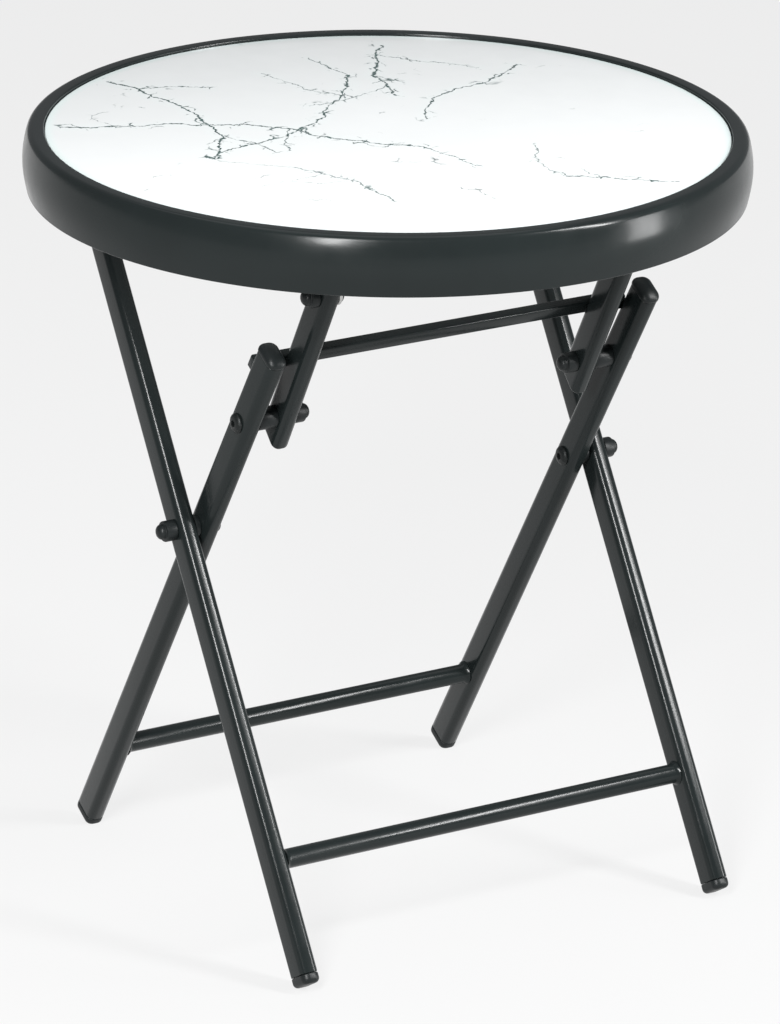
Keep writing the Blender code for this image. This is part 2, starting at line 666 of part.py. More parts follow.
def build():
    clear_scene()
    make = Maker()
    knee = CROSS_PIVOT + along(INNER_LEAN) * KNEE_ABOVE_CROSS
    link_top = knee + along(LINK_LEAN) * LINK_LENGTH
    hinge_above = (TOP_HINGE_HEIGHT - CROSS_PIVOT.z) / math.cos(OUTER_LEAN)
    hinge = CROSS_PIVOT + along(-OUTER_LEAN) * hinge_above
    floor_depth = 60 * MM
    floor = make.cutter("floor", box_mesh("floor", 1, 1, floor_depth), None,
                        (0, 0, -floor_depth / 2))
    outer = make.frame("outer_frame", CROSS_PIVOT, -OUTER_LEAN)
    inner = make.frame("inner_frame", CROSS_PIVOT, INNER_LEAN)
    top = make.frame("top_frame", hinge)
    make_outer_frame(make, outer, floor, hinge)
    make_inner_frame(make, inner, floor)
    make_top(make, top, hinge, link_top)
    for side_name, side in LEFT_AND_RIGHT:
        make_link(make, side_name, side, link_top)


build()
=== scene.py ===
"""Looks of the round folding table: smooth tubes, turned hardware, hoop, printed glass,
their finishes, a pale floor, studio light and the camera."""

import json
import math
import random

import bmesh
import bpy
from mathutils import Matrix, Vector


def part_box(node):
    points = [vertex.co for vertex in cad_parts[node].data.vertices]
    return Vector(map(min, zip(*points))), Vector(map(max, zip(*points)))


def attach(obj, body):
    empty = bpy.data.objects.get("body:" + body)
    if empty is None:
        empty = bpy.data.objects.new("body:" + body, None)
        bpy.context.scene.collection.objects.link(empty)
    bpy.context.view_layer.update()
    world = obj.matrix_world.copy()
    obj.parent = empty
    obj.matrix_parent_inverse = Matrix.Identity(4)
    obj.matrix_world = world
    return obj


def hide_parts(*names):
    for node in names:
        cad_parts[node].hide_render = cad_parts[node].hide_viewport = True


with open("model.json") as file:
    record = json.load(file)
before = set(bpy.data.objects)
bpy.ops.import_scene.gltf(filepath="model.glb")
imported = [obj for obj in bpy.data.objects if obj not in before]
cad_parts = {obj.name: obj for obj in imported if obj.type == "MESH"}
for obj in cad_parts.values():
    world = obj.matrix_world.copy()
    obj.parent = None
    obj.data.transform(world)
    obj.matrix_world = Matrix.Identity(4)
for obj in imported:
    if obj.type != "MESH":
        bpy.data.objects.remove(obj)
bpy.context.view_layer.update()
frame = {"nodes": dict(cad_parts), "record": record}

MM = 0.001
QUARTER = math.pi / 2
SIDES = (("left", -1), ("right", 1))

TUBE_WIDTH = 20.5 * MM
TUBE_THICKNESS = 12.4 * MM
TUBE_CORNER = 5 * MM
SEAM = 0.3 * MM
BAND_BULGE = 2.4 * MM
FOOT_HEAD = 6.5 * MM


# Places, read from the frame

def middle(node):
    low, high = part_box(node)
    return (Vector(low) + Vector(high)) / 2


def joint_place(name):
    for joint in frame["record"]["behaviour"]["joints"]:
        if joint["name"] == name:
            return Vector(joint["pos_m"])
    raise KeyError(name)


def flat(point):
    return Vector((point.x, 0, point.z))


def lean_of(low, high):
    """Angle of a leg from the vertical, positive towards +X."""
    return math.atan2(high.x - low.x, high.z - low.z)


cross = flat(joint_place("fold"))
hinge = flat(joint_place("top_tilt"))
link_top = flat(joint_place("link_fold_left"))
knee = flat(middle("knee_bolt_left"))
outer_lean = lean_of(cross, hinge)
inner_lean = lean_of(cross, knee)
link_lean = lean_of(knee, link_top)
outer_y = middle("outer_leg_right").y
inner_y = middle("inner_leg_right").y
link_y = middle("link_right").y


# Modelling by hand

def deselect():
    bpy.ops.object.select_all(action="DESELECT")


def pick(piece, vertex=None, edge=None, face=None):
    """In edit mode, selects only the parts of the mesh that pass the given test."""
    shape = bmesh.from_edit_mesh(piece.data)
    for part in (*shape.faces, *shape.edges, *shape.verts):
        part.select_set(False)
    tested = ((shape.verts, vertex), (shape.edges, edge), (shape.faces, face))
    for parts, test in tested:
        if test:
            for part in parts:
                if test(part):
                    part.select_set(True)
    shape.select_flush_mode()
    bmesh.update_edit_mesh(piece.data)


def edit(piece, mode="VERT"):
    deselect()
    piece.select_set(True)
    bpy.context.view_layer.objects.active = piece
    bpy.ops.object.mode_set(mode="EDIT")
    bpy.ops.mesh.select_mode(type=mode)


def done():
    bpy.ops.object.mode_set(mode="OBJECT")


def smooth(piece, degrees=35):
    deselect()
    piece.select_set(True)
    bpy.context.view_layer.objects.active = piece
    bpy.ops.object.shade_smooth_by_angle(angle=math.radians(degrees))


def settle(piece, place, turn=(0, 0, 0)):
    """Puts a piece in its place and makes that place part of its mesh."""
    deselect()
    piece.select_set(True)
    bpy.context.view_layer.objects.active = piece
    piece.rotation_euler = turn
    piece.location = place
    bpy.ops.object.transform_apply(location=True, rotation=True, scale=True)


def apply_modifiers(piece):
    deselect()
    piece.select_set(True)
    bpy.context.view_layer.objects.active = piece
    for modifier in list(piece.modifiers):
        bpy.ops.object.modifier_apply(modifier=modifier.name)


def block(name, width, thickness, low, high):
    """A square-edged bar along Z, between two heights."""
    deselect()
    bpy.ops.mesh.primitive_cube_add(size=1, location=(0, 0, (low + high) / 2),
                                    scale=(width, thickness, high - low))
    bar = bpy.context.object
    bar.name = bar.data.name = name
    bpy.ops.object.transform_apply(location=True, rotation=False, scale=True)
    return bar


def upright(edge):
    along = edge.verts[0].co - edge.verts[1].co
    return abs(along.normalized().z) > 0.99


def round_long_edges(bar, radius, segments=10):
    edit(bar, "EDGE")
    pick(bar, edge=upright)
    bpy.ops.mesh.bevel(offset=radius, offset_type="OFFSET", segments=segments, affect="EDGES")
    done()


def round_end(bar, height, radius, segments=3):
    """Rounds the rim of the flat end of a bar that stands at this height."""
    def at_end(edge):
        level = all(abs(v.co.z - height) < 1e-5 for v in edge.verts)
        return level and len(edge.link_faces) == 2
    edit(bar, "EDGE")
    pick(bar, edge=at_end)
    bpy.ops.mesh.bevel(offset=radius, offset_type="OFFSET", segments=segments, affect="EDGES")
    done()


def oval_bar(name, low, high, width=TUBE_WIDTH, thickness=TUBE_THICKNESS, corner=TUBE_CORNER,
             low_round=0.5 * MM, high_round=0.5 * MM):
    bar = block(name, width, thickness, low, high)
    round_long_edges(bar, corner)
    round_end(bar, low, low_round)
    round_end(bar, high, high_round)
    smooth(bar)
    return bar


def turned(name, profile, steps=40, closed_ring=False):
    """A piece turned about Z: a circle extruded and resized along (radius, height) points."""
    deselect()
    radius, height = profile[0]
    fill = "NOTHING" if closed_ring else "NGON"
    bpy.ops.mesh.primitive_circle_add(vertices=steps, radius=radius, fill_type=fill,
                                      location=(0, 0, height))
    piece = bpy.context.object
    piece.name = piece.data.name = name
    bpy.ops.object.transform_apply(location=True, rotation=False, scale=True)
    edit(piece)
    bpy.ops.mesh.select_all(action="SELECT")
    if not closed_ring:
        bpy.ops.mesh.delete(type="ONLY_FACE")
        bpy.ops.mesh.select_all(action="SELECT")
    for new_radius, new_height in profile[1:]:
        lift = (0, 0, new_height - height)
        bpy.ops.mesh.extrude_region_move(TRANSFORM_OT_translate={"value": lift})
        k = new_radius / radius
        bpy.ops.transform.resize(value=(k, k, 1), center_override=(0, 0, new_height))
        radius, height = new_radius, new_height
    if closed_ring:
        bpy.ops.mesh.select_all(action="DESELECT")
        pick(piece, edge=lambda e: len(e.link_faces) == 1)
        bpy.ops.mesh.bridge_edge_loops()
    else:
        bpy.ops.mesh.edge_face_add()
        pick(piece, edge=lambda e: len(e.link_faces) == 1)
        bpy.ops.mesh.edge_face_add()
    bpy.ops.mesh.select_all(action="SELECT")
    bpy.ops.mesh.normals_make_consistent(inside=False)
    done()
    smooth(piece)
    return piece


def arc(centre, radius, start, end, steps):
    points = []
    for step in range(steps + 1):
        angle = math.radians(start + (end - start) * step / steps)
        points.append((centre[0] + radius * math.cos(angle),
                       centre[1] + radius * math.sin(angle)))
    return points


# Finishes

class Field:
    """A number that varies over a surface; arithmetic on it adds Math nodes."""

    def __init__(self, finish, socket):
        self.finish = finish
        self.socket = socket

    def _with(self, operation, *others):
        return self.finish.node("ShaderNodeMath", {"operation": operation}, [self, *others])

    def __add__(self, other):
        return self._with("ADD", other)

    def __sub__(self, other):
        return self._with("SUBTRACT", other)

    def __rsub__(self, other):
        return self.finish.node("ShaderNodeMath", {"operation": "SUBTRACT"}, [other, self])

    def __mul__(self, other):
        return self._with("MULTIPLY", other)

    def __truediv__(self, other):
        return self._with("DIVIDE", other)

    __radd__ = __add__
    __rmul__ = __mul__

    def least(self, other):
        return self._with("MINIMUM", other)

    def most(self, other):
        return self._with("MAXIMUM", other)

    def clamped(self):
        return self.most(0.0).least(1.0)

    def power(self, other):
        return self._with("POWER", other)


class Finish:
    """A named material whose nodes are added one call at a time."""

    def __init__(self, name):
        self.material = bpy.data.materials.new(name)
        self.material.use_nodes = True
        self.tree = self.material.node_tree
        self.shader = self.tree.nodes["Principled BSDF"]
        place = self.tree.nodes.new("ShaderNodeTexCoord")
        self.place = place.outputs["Object"]

    def node(self, kind, settings, values, output=0):
        """Adds a node, sets it up, then feeds its sockets by number or by name."""
        made = self.tree.nodes.new(kind)
        for key, value in settings.items():
            setattr(made, key, value)
        pairs = values.items() if isinstance(values, dict) else enumerate(values)
        for key, value in pairs:
            self.feed(made.inputs[key], value)
        return Field(self, made.outputs[output])

    def feed(self, socket, value):
        if isinstance(value, Field):
            self.tree.links.new(value.socket, socket)
        elif isinstance(value, bpy.types.NodeSocket):
            self.tree.links.new(value, socket)
        else:
            socket.default_value = value

    def set(self, name, value):
        self.feed(self.shader.inputs[name], value)

    def noise(self, scale, detail=2.0, rough=0.5, place=None, output="Fac"):
        return self.node("ShaderNodeTexNoise", {}, {
            "Vector": place or self.place, "Scale": scale, "Detail": detail,
            "Roughness": rough}, output)

    def blend(self, factor, first, second):
        """Mixes two colours by a factor."""
        made = self.tree.nodes.new("ShaderNodeMix")
        made.data_type = "RGBA"
        self.feed(made.inputs[0], factor)
        self.feed(made.inputs[6], first)
        self.feed(made.inputs[7], second)
        return Field(self, made.outputs[2])

    def vector(self, operation, *values, output=0):
        return self.node("ShaderNodeVectorMath", {"operation": operation}, values, output)

    def range(self, value, low, high, to_low=0.0, to_high=1.0):
        return self.node("ShaderNodeMapRange", {"interpolation_type": "SMOOTHSTEP"},
                         [value, low, high, to_low, to_high])

    def bump(self, height, strength, distance):
        self.set("Normal", self.node("ShaderNodeBump", {}, {
            "Height": height, "Strength": strength, "Distance": distance}))


def shade(colour, factor=1.0):
    return (*(c * factor for c in colour), 1)


def charcoal_paint():
    """Satin powder coat: faint orange peel, slow tone changes, a little pin grain."""
    coat = Finish("charcoal_powder_coat")
    tone = (0.0090, 0.0118, 0.0119)
    slow = coat.noise(14, 3)
    grain = coat.noise(1500, 2)
    colour = coat.blend(coat.range(slow, 0.35, 0.65), shade(tone, 0.93), shade(tone, 1.07))
    coat.set("Base Color", coat.blend(coat.range(grain, 0.55, 0.8, 0, 0.15), colour,
                                      shade(tone, 1.3)))
    coat.set("Roughness", coat.range(coat.noise(60, 3), 0.3, 0.7, 0.18, 0.24))
    coat.shader.inputs["Specular IOR Level"].default_value = 0.17
    coat.shader.inputs["Coat Weight"].default_value = 0.06
    coat.shader.inputs["Coat Roughness"].default_value = 0.14
    coat.bump(coat.noise(420, 2) * 0.7 + grain * 0.3, 0.05, 0.0003)
    return coat.material


def black_plastic():
    """Moulded end plugs and nut covers: fine spark grain and a soft sheen."""
    plastic = Finish("moulded_black_plastic")
    grain = plastic.noise(2200, 3, 0.7)
    tone = (0.0075, 0.0095, 0.0098)
    plastic.set("Base Color", plastic.blend(grain, shade(tone, 0.85), shade(tone, 1.2)))
    plastic.set("Roughness", plastic.range(grain, 0.3, 0.7, 0.34, 0.44))
    plastic.shader.inputs["Specular IOR Level"].default_value = 0.22
    plastic.bump(grain, 0.08, 0.0002)
    return plastic.material


def black_hardware():
    """Black plated bolts with rubbed, lighter patches."""
    plating = Finish("black_plated_steel")
    rub = plating.range(plating.noise(300, 4, 0.65), 0.52, 0.72)
    plating.set("Base Color", plating.blend(rub, shade((0.010, 0.012, 0.012)),
                                            shade((0.030, 0.033, 0.033))))
    plating.set("Roughness", 0.42 - rub * 0.12)
    plating.shader.inputs["Metallic"].default_value = 0.4
    plating.shader.inputs["Specular IOR Level"].default_value = 0.3
    plating.bump(plating.noise(900, 2), 0.08, 0.0002)
    return plating.material


def zinc_steel():
    """Zinc plate with a faint spangle and drawn lines along X."""
    zinc = Finish("zinc_plated_steel")
    spangle = zinc.node("ShaderNodeTexVoronoi", {}, {"Vector": zinc.place, "Scale": 260},
                        "Color")
    tone = zinc.vector("DOT_PRODUCT", spangle, (0.33, 0.33, 0.33), output=1)
    lines = zinc.noise(1, 2, place=zinc.vector("MULTIPLY", zinc.place, (60, 1800, 1800)))
    zinc.set("Base Color", zinc.blend(tone, shade((0.40, 0.40, 0.39)),
                                      shade((0.56, 0.56, 0.55))))
    zinc.set("Roughness", 0.30 + lines * 0.14)
    zinc.shader.inputs["Metallic"].default_value = 1.0
    zinc.bump(lines, 0.10, 0.0002)
    return zinc.material


def clear_rubber():
    rubber = Finish("clear_rubber")
    haze = rubber.noise(180, 3)
    rubber.set("Base Color", rubber.blend(haze, shade((0.50, 0.50, 0.48)),
                                          shade((0.62, 0.62, 0.60))))
    rubber.set("Roughness", rubber.range(haze, 0.3, 0.7, 0.5, 0.65))
    rubber.bump(rubber.noise(1200, 2), 0.15, 0.0002)
    return rubber.material


# The marble print. A vein starts at an hour on the rim's clock, noon pointing away from the
# viewer, this share of the way out, and sets off towards another hour. Lengths in cm.
PRINT_SEED = 7
NOON = math.radians(150)
PRINT_RADIUS = 21.7
VEIN_STEP = 2.4
MAIN_VEINS = (
    (10, 0.95, 4, 20, 0.9),
    (9, 0.95, 3, 26, 0.9),
    (8, 0.6, 1, 22, 0.8),
    (12, 0.9, 6, 14, 0.8),
    (1, 0.8, 7, 16, 0.7),
    (4, 0.95, 9, 9, 0.7),
    (6, 0.7, 11, 10, 0.5),
)
BRANCH_CHANCE = 0.4
BRANCH_LENGTH = 5
VEIN_WANDER = math.radians(24)


def clock(hour):
    return NOON - math.radians(30 * hour)


def grow_vein(draw, start, heading, length):
    """Points of a vein that turns a little at every step and stops short of the rim."""
    points = [start]
    for _ in range(int(length / VEIN_STEP)):
        heading += draw.uniform(-VEIN_WANDER, VEIN_WANDER)
        x = points[-1][0] + VEIN_STEP * math.cos(heading)
        y = points[-1][1] + VEIN_STEP * math.sin(heading)
        if math.hypot(x, y) > PRINT_RADIUS:
            break
        points.append((x, y))
    return points


def grow_print():
    """All the veins as (strength, half width in mm, points), main ones first."""
    draw = random.Random(PRINT_SEED)
    veins = []
    for hour, share, toward, length, strength in MAIN_VEINS:
        out = clock(hour)
        start = (share * PRINT_RADIUS * math.cos(out), share * PRINT_RADIUS * math.sin(out))
        points = grow_vein(draw, start, clock(toward), length)
        veins.append((strength, 0.8, points))
        for before, point in zip(points, points[1:]):
            if draw.random() > BRANCH_CHANCE:
                continue
            along = math.atan2(point[1] - before[1], point[0] - before[0])
            turn = draw.choice((-1, 1)) * math.radians(draw.uniform(35, 70))
            length = BRANCH_LENGTH * draw.uniform(0.8, 1.6)
            branch = grow_vein(draw, point, along + turn, length)
            if len(branch) > 1:
                veins.append((strength * 0.7, 0.6, branch))
    return veins


def distance_to(glass, place, start, end):
    """Distance from each point of the top to one straight piece of a vein, in metres."""
    a = Vector((start[0] / 100, start[1] / 100, 0))
    run = Vector((end[0] / 100, end[1] / 100, 0)) - a
    away = glass.vector("SUBTRACT", place, tuple(a))
    share = glass.vector("DOT_PRODUCT", away, tuple(run / run.length_squared), output=1)
    foot = glass.node("ShaderNodeVectorMath", {"operation": "SCALE"},
                      {0: tuple(run), 3: share.clamped()})
    return glass.vector("LENGTH", glass.vector("SUBTRACT", away, foot), output=1)


def marble_glass():
    """White printed glass with drawn veins, hairlines between them and a cool clear edge."""
    glass = Finish("marble_printed_glass")
    level = glass.vector("MULTIPLY", glass.place, (1, 1, 0))
    wander = glass.vector("SUBTRACT", glass.noise(45, 4, 0.6, level, "Color"), (0.5, 0.5, 0.5))
    jitter = glass.vector("SUBTRACT", glass.noise(210, 3, 0.6, level, "Color"), (0.5, 0.5, 0.5))
    moved = glass.vector("ADD", level, glass.vector("MULTIPLY", wander, (0.014, 0.014, 0)))
    moved = glass.vector("ADD", moved, glass.vector("MULTIPLY", jitter, (0.005, 0.005, 0)))
    breaks = glass.range(glass.noise(120, 3, 0.6, level), 0.34, 0.5, 0.55, 1.0)
    swell = glass.range(glass.noise(260, 2, 0.5, level), 0.35, 0.7, 0.9, 2.4)
    veins = None
    haze = None
    for strength, width, points in grow_print():
        if len(points) < 2:
            continue
        nearest = None
        for start, end in zip(points, points[1:]):
            gap = distance_to(glass, moved, start, end)
            nearest = gap if nearest is None else nearest.least(gap)
        line = (1 - nearest / (swell * (width * MM))).clamped() * strength
        soft = (1 - nearest / 0.012).clamped() * strength
        veins = line if veins is None else veins.most(line)
        haze = soft if haze is None else haze.most(soft)
    cells = glass.node("ShaderNodeTexVoronoi", {"feature": "DISTANCE_TO_EDGE"},
                       {"Vector": moved, "Scale": 55}, "Distance")
    near = glass.range(haze, 0.1, 0.6)
    patch = glass.range(glass.noise(22, 2, 0.5, level), 0.56, 0.72)
    hair = (1 - cells / 0.05).clamped() * near.most(patch * 0.8)
    hair = hair * glass.range(glass.noise(90, 2, 0.5, level), 0.44, 0.58) * 0.6
    lines = (veins * breaks).most(hair)
    white = (0.69, 0.705, 0.705)
    tinted = glass.blend(near * 0.10, shade(white), shade((0.66, 0.79, 0.77)))
    radius = glass.vector("LENGTH", level, output=1)
    edge = glass.range(radius, 0.209, 0.2168)
    tinted = glass.blend(edge * 0.45, tinted, shade((0.60, 0.76, 0.73)))
    dark = glass.blend(glass.noise(140, 2, 0.5, level), shade((0.02, 0.03, 0.03)),
                       shade((0.06, 0.13, 0.12)))
    factor = glass.range(lines, 0.08, 0.55)
    glass.set("Base Color", glass.blend(factor, tinted, dark))
    glass.set("Roughness", glass.range(glass.noise(35, 3, 0.5, level), 0.3, 0.7, 0.22, 0.27))
    glass.shader.inputs["Coat Weight"].default_value = 0.35
    glass.shader.inputs["Coat Roughness"].default_value = 0.08
    glass.shader.inputs["Specular IOR Level"].default_value = 0.3
    return glass.material


finishes = {
    "charcoal_paint": charcoal_paint(),
    "black_plastic": black_plastic(),
    "black_hardware": black_hardware(),
    "zinc_steel": zinc_steel(),
    "clear_rubber": clear_rubber(),
    "marble_glass": marble_glass(),
}


def finish_piece(piece, slot, body, *nodes):
    """Paints a finished piece, hides the CAD nodes it stands for and sends it with its body."""
    piece.data.materials.clear()
    piece.data.materials.append(finishes[slot])
    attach(piece, body)
    if nodes:
        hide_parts(*nodes)
    return piece


# The top

def make_hoop():
    """Band, widest halfway, rolled over at the top and stepped down to the glass ledge."""
    low, high = (corner.z for corner in map(Vector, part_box("top_rim")))
    edge = Vector(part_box("top_rim")[1]).x - BAND_BULGE
    wall = 1.6 * MM
    lip = 217.4 * MM
    ledge = Vector(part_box("glass_gasket")[0]).z - SEAM
    hole = 204 * MM
    roll = 4.5 * MM
    corner = (edge - roll, high - roll)
    shoulder = corner[1] + roll * math.sin(math.radians(15))
    foot = low + 0.8 * MM
    band = []
    for step in range(1, 16):
        share = step / 16
        band.append((edge + BAND_BULGE * math.sin(math.pi * share),
                     shoulder + (foot - shoulder) * share))
    profile = [(hole, ledge - wall), (hole, ledge), (lip, ledge), (lip, high - 1.0 * MM)]
    profile += arc((lip + 1.0 * MM, high - 1.0 * MM), 1.0 * MM, 180, 90, 5)[1:]
    profile += arc(corner, roll, 90, 15, 9) + band
    profile += arc((edge - 0.8 * MM, foot), 0.8 * MM, 0, -90, 4) + [(edge - wall, low)]
    profile += [(radius - wall, height) for radius, height in reversed(band)]
    profile += arc(corner, roll - wall, 15, 90, 5)
    profile += [(lip + wall, high - wall), (lip + wall, ledge - wall)]
    hoop = turned("hoop", profile, 224, closed_ring=True)
    finish_piece(hoop, "charcoal_paint", "top", "top_rim")


def make_glass():
    low, high = map(Vector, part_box("glass_top"))
    radius = high.x
    ease = 0.9 * MM
    profile = [(20 * MM, high.z)] + arc((radius - ease, high.z - ease), ease, 90, 0, 5)
    profile += arc((radius - ease, low.z + ease), ease, 0, -90, 5) + [(20 * MM, low.z)]
    glass = turned("printed_glass", profile, 224)
    finish_piece(glass, "marble_glass", "top", "glass_top")


# Legs, feet, links

def leg_ends(node, lean, end):
    """Height along a leaning leg of its top or bottom, from the cross pivot."""
    low, high = map(Vector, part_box(node))
    half = TUBE_WIDTH / 2 * abs(math.sin(lean))
    if end > 0:
        return (high.z - half - cross.z) / math.cos(lean)
    return (low.z + half - cross.z) / math.cos(lean)


def make_leg(kind, lean, y, body):
    low = leg_ends(f"{kind}_leg_right", lean, -1)
    high = leg_ends(f"{kind}_leg_right", lean, 1)
    for side_name, side in SIDES:
        node = f"{kind}_leg_{side_name}"
        leg = oval_bar(f"{kind}_leg_tube_{side_name}", low, high)
        settle(leg, cross + Vector((0, side * y, 0)), (0, lean, 0))
        finish_piece(leg, "charcoal_paint", body, node)
        make_foot(kind, side_name, side * y, lean, low, body)
    return low, high


def make_foot(kind, side_name, y, lean, tube_end, body):
    """Square-ended foot plug with soft edges, its low corner cut level with the floor."""
    end = tube_end - SEAM - FOOT_HEAD
    foot = block(f"{kind}_foot_plug_{side_name}", TUBE_WIDTH, TUBE_THICKNESS, end,
                 tube_end - SEAM)
    round_long_edges(foot, TUBE_CORNER)
    round_end(foot, end, 3.2 * MM, 7)
    round_end(foot, tube_end - SEAM, 0.7 * MM)
    settle(foot, cross + Vector((0, y, 0)), (0, lean, 0))
    cut_square(foot, (0, 0, 0), (0, 0, 1))
    smooth(foot, 50)
    finish_piece(foot, "black_plastic", body, f"{kind}_foot_{side_name}")


def cut_square(bar, place, normal):
    """Cuts a bar through on a plane, keeps the side the normal points to and closes it."""
    edit(bar)
    bpy.ops.mesh.select_all(action="SELECT")
    bpy.ops.mesh.bisect(plane_co=place, plane_no=normal, use_fill=True, clear_inner=True)
    done()


def make_leg_cap(side_name, side, end):
    """Smooth low domed cap on an inner leg."""
    straight = end + 1.5 * MM
    rise = 4.7 * MM
    cap = block(f"leg_cap_{side_name}", TUBE_WIDTH + 0.8 * MM, TUBE_THICKNESS + 0.8 * MM,
                end + SEAM, straight)
    round_long_edges(cap, TUBE_CORNER + 0.4 * MM, 10)
    edit(cap, "FACE")
    pick(cap, face=lambda f: f.calc_center_median().z > straight - 1e-5)
    height = 0
    size = 1
    for step in range(1, 11):
        angle = math.radians(80) * step / 10
        lift = rise * math.sin(angle) - height
        height += lift
        bpy.ops.mesh.extrude_region_move(TRANSFORM_OT_translate={"value": (0, 0, lift)})
        shrink = math.cos(angle) / size
        size *= shrink
        bpy.ops.transform.resize(value=(shrink, shrink, 1),
                                 center_override=(0, 0, straight + height))
    done()
    round_end(cap, end + SEAM, 0.4 * MM, 2)
    smooth(cap, 50)
    settle(cap, cross + Vector((0, side * inner_y, 0)), (0, inner_lean, 0))
    finish_piece(cap, "black_plastic", "inner_frame", f"inner_leg_cap_{side_name}")


def make_link(side_name, side):
    """Flat oval bar, its lower end cut on the skew and its rims rounded."""
    length = (link_top - knee).length
    link = block(f"link_bar_{side_name}", TUBE_WIDTH, TUBE_THICKNESS, -length - 26 * MM, 12 * MM)
    round_long_edges(link, TUBE_CORNER)
    round_end(link, 12 * MM, 2.4 * MM, 5)
    place = Vector((0, 0, -length - 18.25 * MM))
    normal = Vector((1, 0, 3)).normalized()
    cut_square(link, place, normal)
    edit(link, "EDGE")
    pick(link, edge=lambda e: all(abs((v.co - place).dot(normal)) < 1e-5 for v in e.verts))
    bpy.ops.mesh.bevel(offset=2.2 * MM, offset_type="OFFSET", segments=5, affect="EDGES")
    done()
    smooth(link)
    settle(link, link_top + Vector((0, side * link_y, 0)), (0, link_lean, 0))
    finish_piece(link, "charcoal_paint", f"link_{side_name}", f"link_{side_name}",
                 f"link_top_plug_{side_name}", f"link_foot_plug_{side_name}")


def make_crossbar(name, node, body):
    """Round bar with a weld fillet that flares at each end."""
    low, high = map(Vector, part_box(node))
    radius = 6.35 * MM
    half = (high.y - low.y) / 2
    flare = [(8.1 * MM, half), (7.5 * MM, half - 0.7 * MM), (6.8 * MM, half - 1.8 * MM),
             (radius, half - 3.2 * MM)]
    profile = [(r, -z) for r, z in flare] + list(reversed(flare))
    bar = turned(name, profile, 48)
    settle(bar, (low + high) / 2, (QUARTER, 0, 0))
    finish_piece(bar, "charcoal_paint", body, node)


def make_stop_bar():
    low, high = map(Vector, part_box("stop_bar"))
    half = (high.y - low.y) / 2
    bar = block("stop_bar_tube", 7 * MM, 10 * MM, -half, half)
    round_long_edges(bar, 1.4 * MM, 4)
    round_end(bar, half, 1.2 * MM)
    round_end(bar, -half, 1.2 * MM)
    smooth(bar)
    settle(bar, (0, 0, 0), (QUARTER, 0, 0))
    settle(bar, (low + high) / 2, (0, inner_lean, 0))
    finish_piece(bar, "charcoal_paint", "inner_frame", "stop_bar")


# Hardware

def facing(side):
    return (-side * QUARTER, 0, 0)


def make_bolt(name, node, body, seat, side, head_radius=6.4 * MM, reach=0.0):
    """Low button head with a hexagon socket, on a plain shank."""
    r = head_radius
    profile = [(3 * MM, -reach), (3 * MM, 0), (r - 0.3 * MM, 0), (r, 0.3 * MM), (r, 0.7 * MM)]
    profile += [(0.96 * r, 1.3 * MM), (0.86 * r, 2.0 * MM), (0.70 * r, 2.6 * MM),
                (0.5 * r, 2.93 * MM), (0.42 * r, 3 * MM)]
    bolt = turned(name, profile)
    deselect()
    bpy.ops.mesh.primitive_cylinder_add(vertices=6, radius=2.4 * MM, depth=4 * MM,
                                        location=(0, 0, 3.2 * MM))
    socket = bpy.context.object
    cutter = bolt.modifiers.new("socket", "BOOLEAN")
    cutter.object = socket
    cutter.solver = "EXACT"
    apply_modifiers(bolt)
    bpy.data.objects.remove(socket)
    smooth(bolt, 30)
    settle(bolt, seat, facing(side))
    finish_piece(bolt, "black_hardware", body, node)


def make_cap_nut(name, node, body, seat, side, length):
    """Smooth nut cover: a full skirt, a step inwards, then a narrower dome."""
    r = 6.7 * MM
    neck = 4.9 * MM
    skirt = length - 4.6 * MM
    profile = [(r - 0.4 * MM, 0), (r, 0.4 * MM), (r, skirt - 0.7 * MM),
               (r - 0.2 * MM, skirt - 0.2 * MM), (r - 0.7 * MM, skirt),
               (neck + 0.4 * MM, skirt + 0.1 * MM), (neck, skirt + 0.5 * MM)]
    for step in range(0, 8):
        angle = math.radians(78) * step / 7
        profile.append((neck * math.cos(angle), skirt + 1.3 * MM + 3.3 * MM * math.sin(angle)))
    nut = turned(name, profile)
    settle(nut, seat, facing(side))
    finish_piece(nut, "black_plastic", body, node)


def make_spacer(name, node, body, seat, side, length):
    r = 7.2 * MM
    ease = 0.5 * MM
    profile = [(r - ease, 0), (r - 0.15 * MM, 0.15 * MM), (r, ease), (r, length - ease),
               (r - 0.15 * MM, length - 0.15 * MM), (r - ease, length)]
    bush = turned(name, profile)
    settle(bush, seat, facing(side))
    finish_piece(bush, "black_plastic", body, node)


def span(node):
    """Lowest and highest Y of a node."""
    low, high = map(Vector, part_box(node))
    return low.y, high.y


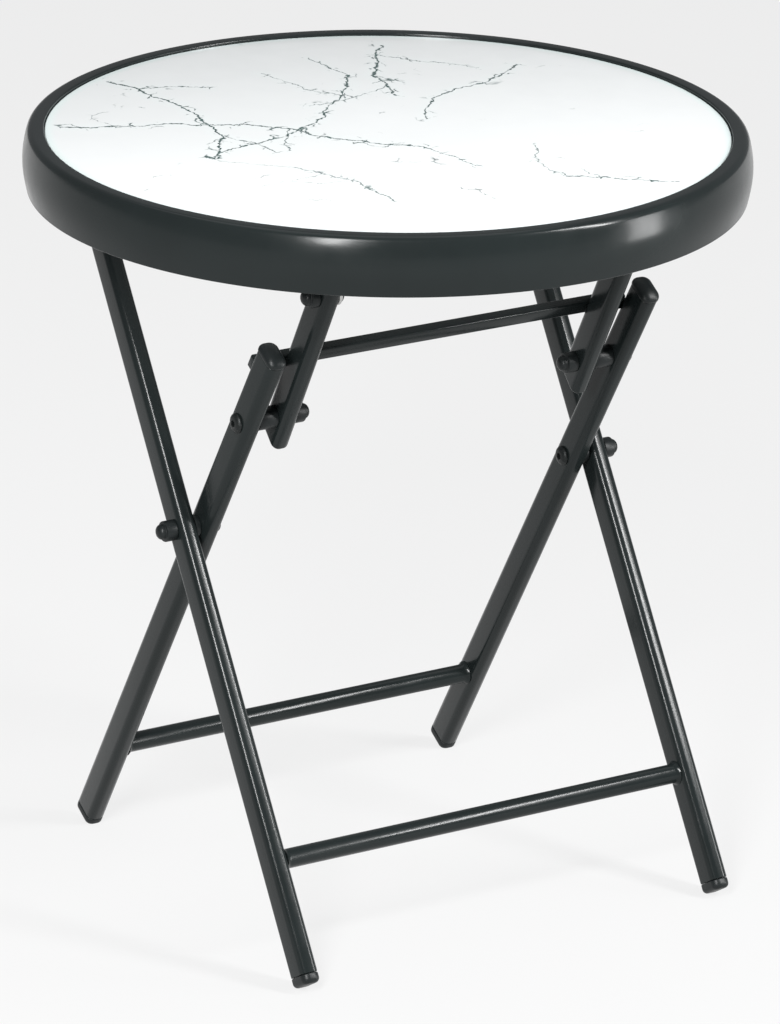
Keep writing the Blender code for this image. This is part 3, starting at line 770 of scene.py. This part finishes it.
def make_pivots():
    for side_name, side in SIDES:
        half = TUBE_THICKNESS / 2 + SEAM
        seat = Vector((0, side, 0))
        make_bolt(f"cross_pivot_bolt_{side_name}", f"cross_bolt_{side_name}", "outer_frame",
                  cross + seat * (inner_y - half), -side, reach=38 * MM)
        make_cap_nut(f"cross_pivot_cap_{side_name}", f"cross_cap_nut_{side_name}",
                     "outer_frame", cross + seat * (outer_y + half), side, 12 * MM)
        low, high = span(f"cross_spacer_{side_name}")
        make_spacer(f"cross_pivot_spacer_{side_name}", f"cross_spacer_{side_name}",
                    "outer_frame", cross + seat * (inner_y + half), side, high - low)
        make_bolt(f"knee_pivot_bolt_{side_name}", f"knee_bolt_{side_name}", "inner_frame",
                  knee + seat * (inner_y + half), side, reach=26 * MM)
        low, high = span(f"knee_spacer_{side_name}")
        make_spacer(f"knee_pivot_spacer_{side_name}", f"knee_spacer_{side_name}",
                    "inner_frame", knee + seat * (link_y + half), side, high - low)
        make_cap_nut(f"knee_pivot_cap_{side_name}", f"knee_nut_{side_name}",
                     f"link_{side_name}", knee + seat * (link_y - half), -side, 12 * MM)
        make_cap_nut(f"link_pivot_cap_{side_name}", f"link_top_nut_{side_name}", "top",
                     link_top + seat * (link_y + half), side, 10 * MM)
        inner_seat = link_y - half - 2.3 * MM
        make_bolt(f"link_pivot_bolt_{side_name}", f"link_top_bolt_{side_name}", "top",
                  link_top + seat * inner_seat, -side, reach=19 * MM)
        make_bolt(f"hinge_pivot_bolt_{side_name}", f"hinge_bolt_{side_name}", "top",
                  hinge + seat * (outer_y + half), side, reach=19 * MM)


def finish_frame_nodes():
    """CAD nodes that stay in view get the same finishes as the new pieces."""
    slots = {part["node"]: part["material_slot"] for part in frame["record"]["subparts"]}
    for name, node in frame["nodes"].items():
        node.data.materials.clear()
        node.data.materials.append(finishes[slots[name]])


# Room

def make_floor():
    deselect()
    bpy.ops.mesh.primitive_plane_add(size=30, location=(0, 0, -0.0005))
    floor = bpy.context.object
    floor.name = "studio_floor"
    pale = Finish("pale_floor")
    pale.set("Base Color", (0.09, 0.09, 0.09, 1))
    pale.shader.inputs["Roughness"].default_value = 0.9
    pale.shader.inputs["Specular IOR Level"].default_value = 0.1
    pale.shader.inputs["Emission Color"].default_value = (1, 1, 1, 1)
    pale.shader.inputs["Emission Strength"].default_value = 0.78
    floor.data.materials.append(pale.material)


def area_light(name, place, target, size, power):
    data = bpy.data.lights.new(name, "AREA")
    data.shape = "RECTANGLE"
    data.size, data.size_y = size
    data.energy = power
    light = bpy.data.objects.new(name, data)
    light.location = place
    light.rotation_euler = (Vector(target) - Vector(place)).to_track_quat("-Z", "Y").to_euler()
    bpy.context.scene.collection.objects.link(light)


def make_lights():
    centre = (0, 0, 0.25)
    area_light("front_left_strip", (1.38, -1.52, 1.49), centre, (0.3, 1.4), 84)
    area_light("front_right_strip", (1.56, 1.18, 1.64), centre, (0.2, 1.4), 66)
    area_light("low_right_panel", (1.51, 1.87, 0.45), centre, (0.5, 0.8), 22)
    area_light("overhead", (-0.6, 0.2, 2.6), centre, (1.8, 1.8), 9)
    world = bpy.data.worlds.new("studio_air")
    world.use_nodes = True
    world.node_tree.nodes["Background"].inputs[0].default_value = (0.95, 0.97, 1, 1)
    world.node_tree.nodes["Background"].inputs[1].default_value = 0.25
    bpy.context.scene.world = world
    bpy.context.scene.view_settings.view_transform = "Standard"


def make_camera():
    data = bpy.data.cameras.new("camera")
    data.lens = 238.7
    data.sensor_width = 36
    data.clip_end = 60
    camera = bpy.data.objects.new("camera", data)
    turn = Matrix.Rotation(math.radians(58.28), 4, "Z")
    turn @= Matrix.Rotation(math.radians(90 - 19.99), 4, "X")
    turn @= Matrix.Rotation(math.radians(1.01), 4, "Z")
    camera.matrix_world = Matrix.Translation((3.5001, -2.1572, 1.7325)) @ turn
    bpy.context.scene.collection.objects.link(camera)
    bpy.context.scene.camera = camera


make_camera()
finish_frame_nodes()
make_hoop()
make_glass()
make_leg("outer", outer_lean, outer_y, "outer_frame")
inner_ends = make_leg("inner", inner_lean, inner_y, "inner_frame")
for side_name, side in SIDES:
    make_leg_cap(side_name, side, inner_ends[1])
    make_link(side_name, side)
make_crossbar("outer_crossbar_tube", "outer_crossbar", "outer_frame")
make_crossbar("inner_crossbar_tube", "inner_crossbar", "inner_frame")
make_stop_bar()
make_pivots()
make_floor()
make_lights()
